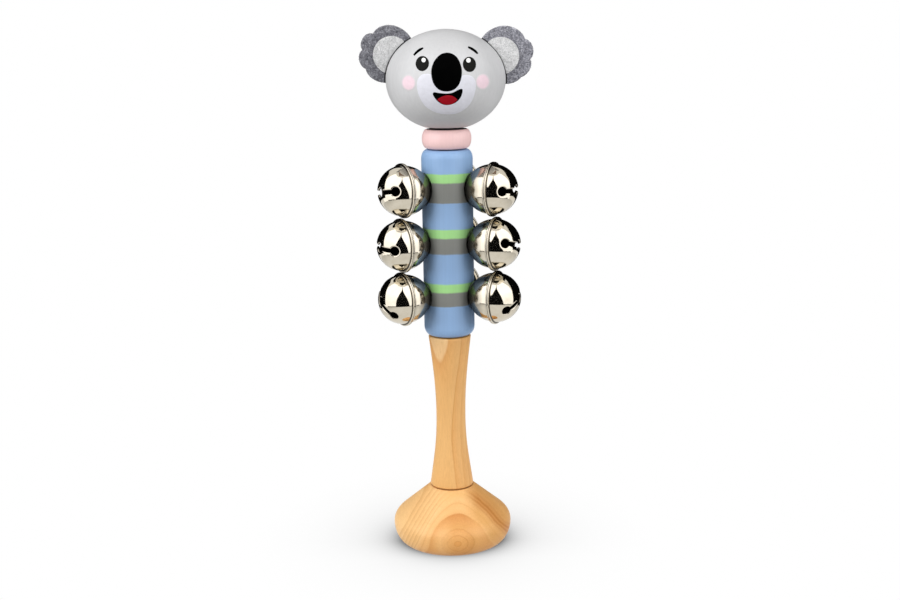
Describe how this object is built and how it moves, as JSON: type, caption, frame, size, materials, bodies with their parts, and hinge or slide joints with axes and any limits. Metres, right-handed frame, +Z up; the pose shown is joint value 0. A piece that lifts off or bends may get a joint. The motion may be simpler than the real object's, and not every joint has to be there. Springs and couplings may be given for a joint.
{
  "type": "bell stick",
  "caption": "Standing wooden bell stick: turned base, waisted handle, striped body with loose jingle bells in rows, and a painted ball head with felt ears.",
  "frame": {"origin": "middle of the flat underside of the base, on the axis of the stick", "axes": "+Z up along the stick, the face looks along -Y, +X to the right as seen from the front"},
  "size_m": [0.0668, 0.0534, 0.2084],
  "materials": {
    "base_wood": "clear satin lacquer over pale wood",
    "handle_wood": "clear satin lacquer over pale wood",
    "body_paint": "satin paint in blue, green and grey bands",
    "ring_paint": "satin pale pink paint",
    "head_paint": "satin light grey paint with a printed face",
    "felt_dark": "mottled grey wool felt",
    "felt_light": "mottled light grey wool felt",
    "dowel_wood": "plain beech",
    "bell_metal": "polished nickel plating on pressed steel",
    "pellet_steel": "plain steel ball",
    "nail_steel": "plain drawn steel"
  },
  "bodies": {
    "stick": {"base": "base_wood", "handle": "handle_wood", "body": "body_paint", "neck_ring": "ring_paint", "head": "head_paint", "ear_outer_left": "felt_dark", "ear_inner_left": "felt_light", "ear_outer_right": "felt_dark", "ear_inner_right": "felt_light", "foot_dowel": "dowel_wood", "middle_dowel": "dowel_wood", "neck_dowel": "dowel_wood", "nail_left_top": "nail_steel", "nail_left_middle": "nail_steel", "nail_left_bottom": "nail_steel", "nail_right_top": "nail_steel", "nail_right_middle": "nail_steel", "nail_right_bottom": "nail_steel", "nail_rear_top": "nail_steel", "nail_rear_middle": "nail_steel", "nail_rear_bottom": "nail_steel"},
    "bell_left_top": {"bell_inner_left_top": "bell_metal", "bell_outer_left_top": "bell_metal"},
    "pellet_left_top": {"pellet_left_top": "pellet_steel"},
    "bell_left_middle": {"bell_inner_left_middle": "bell_metal", "bell_outer_left_middle": "bell_metal"},
    "pellet_left_middle": {"pellet_left_middle": "pellet_steel"},
    "bell_left_bottom": {"bell_inner_left_bottom": "bell_metal", "bell_outer_left_bottom": "bell_metal"},
    "pellet_left_bottom": {"pellet_left_bottom": "pellet_steel"},
    "bell_right_top": {"bell_inner_right_top": "bell_metal", "bell_outer_right_top": "bell_metal"},
    "pellet_right_top": {"pellet_right_top": "pellet_steel"},
    "bell_right_middle": {"bell_inner_right_middle": "bell_metal", "bell_outer_right_middle": "bell_metal"},
    "pellet_right_middle": {"pellet_right_middle": "pellet_steel"},
    "bell_right_bottom": {"bell_inner_right_bottom": "bell_metal", "bell_outer_right_bottom": "bell_metal"},
    "pellet_right_bottom": {"pellet_right_bottom": "pellet_steel"},
    "bell_rear_top": {"bell_inner_rear_top": "bell_metal", "bell_outer_rear_top": "bell_metal"},
    "pellet_rear_top": {"pellet_rear_top": "pellet_steel"},
    "bell_rear_middle": {"bell_inner_rear_middle": "bell_metal", "bell_outer_rear_middle": "bell_metal"},
    "pellet_rear_middle": {"pellet_rear_middle": "pellet_steel"},
    "bell_rear_bottom": {"bell_inner_rear_bottom": "bell_metal", "bell_outer_rear_bottom": "bell_metal"},
    "pellet_rear_bottom": {"pellet_rear_bottom": "pellet_steel"}
  },
  "joints": [
    {"name": "bell_turn_left_top", "type": "hinge", "parent": "stick", "child": "bell_left_top", "pos_m": [-0.01726, -0.00805, 0.14592], "axis": [-0.9063, -0.4226, 0], "continuous": true},
    {"name": "pellet_slide_left_top", "type": "slide", "parent": "bell_left_top", "child": "pellet_left_top", "axis": [0, 0, 1], "range_m": [0, 0.0123]},
    {"name": "bell_turn_left_middle", "type": "hinge", "parent": "stick", "child": "bell_left_middle", "pos_m": [-0.01813, -0.00845, 0.12462], "axis": [-0.9063, -0.4226, 0], "continuous": true},
    {"name": "pellet_slide_left_middle", "type": "slide", "parent": "bell_left_middle", "child": "pellet_left_middle", "axis": [0, 0, 1], "range_m": [0, 0.0123]},
    {"name": "bell_turn_left_bottom", "type": "hinge", "parent": "stick", "child": "bell_left_bottom", "pos_m": [-0.01813, -0.00845, 0.10333], "axis": [-0.9063, -0.4226, 0], "continuous": true},
    {"name": "pellet_slide_left_bottom", "type": "slide", "parent": "bell_left_bottom", "child": "pellet_left_bottom", "axis": [0, 0, 1], "range_m": [0, 0.0123]},
    {"name": "bell_turn_right_top", "type": "hinge", "parent": "stick", "child": "bell_right_top", "pos_m": [0.01766, -0.00714, 0.14592], "axis": [0.9272, -0.3746, 0], "continuous": true},
    {"name": "pellet_slide_right_top", "type": "slide", "parent": "bell_right_top", "child": "pellet_right_top", "axis": [0, 0, 1], "range_m": [0, 0.0123]},
    {"name": "bell_turn_right_middle", "type": "hinge", "parent": "stick", "child": "bell_right_middle", "pos_m": [0.01854, -0.00749, 0.12462], "axis": [0.9272, -0.3746, 0], "continuous": true},
    {"name": "pellet_slide_right_middle", "type": "slide", "parent": "bell_right_middle", "child": "pellet_right_middle", "axis": [0, 0, 1], "range_m": [0, 0.0123]},
    {"name": "bell_turn_right_bottom", "type": "hinge", "parent": "stick", "child": "bell_right_bottom", "pos_m": [0.01854, -0.00749, 0.10333], "axis": [0.9272, -0.3746, 0], "continuous": true},
    {"name": "pellet_slide_right_bottom", "type": "slide", "parent": "bell_right_bottom", "child": "pellet_right_bottom", "axis": [0, 0, 1], "range_m": [0, 0.0123]},
    {"name": "bell_turn_rear_top", "type": "hinge", "parent": "stick", "child": "bell_rear_top", "pos_m": [0.00232, 0.01891, 0.14592], "axis": [0.1219, 0.9925, 0], "continuous": true},
    {"name": "pellet_slide_rear_top", "type": "slide", "parent": "bell_rear_top", "child": "pellet_rear_top", "axis": [0, 0, 1], "range_m": [0, 0.0123]},
    {"name": "bell_turn_rear_middle", "type": "hinge", "parent": "stick", "child": "bell_rear_middle", "pos_m": [0.00244, 0.01985, 0.12462], "axis": [0.1219, 0.9925, 0], "continuous": true},
    {"name": "pellet_slide_rear_middle", "type": "slide", "parent": "bell_rear_middle", "child": "pellet_rear_middle", "axis": [0, 0, 1], "range_m": [0, 0.0123]},
    {"name": "bell_turn_rear_bottom", "type": "hinge", "parent": "stick", "child": "bell_rear_bottom", "pos_m": [0.00244, 0.01985, 0.10333], "axis": [0.1219, 0.9925, 0], "continuous": true},
    {"name": "pellet_slide_rear_bottom", "type": "slide", "parent": "bell_rear_bottom", "child": "pellet_rear_bottom", "axis": [0, 0, 1], "range_m": [0, 0.0123]}
  ]
}
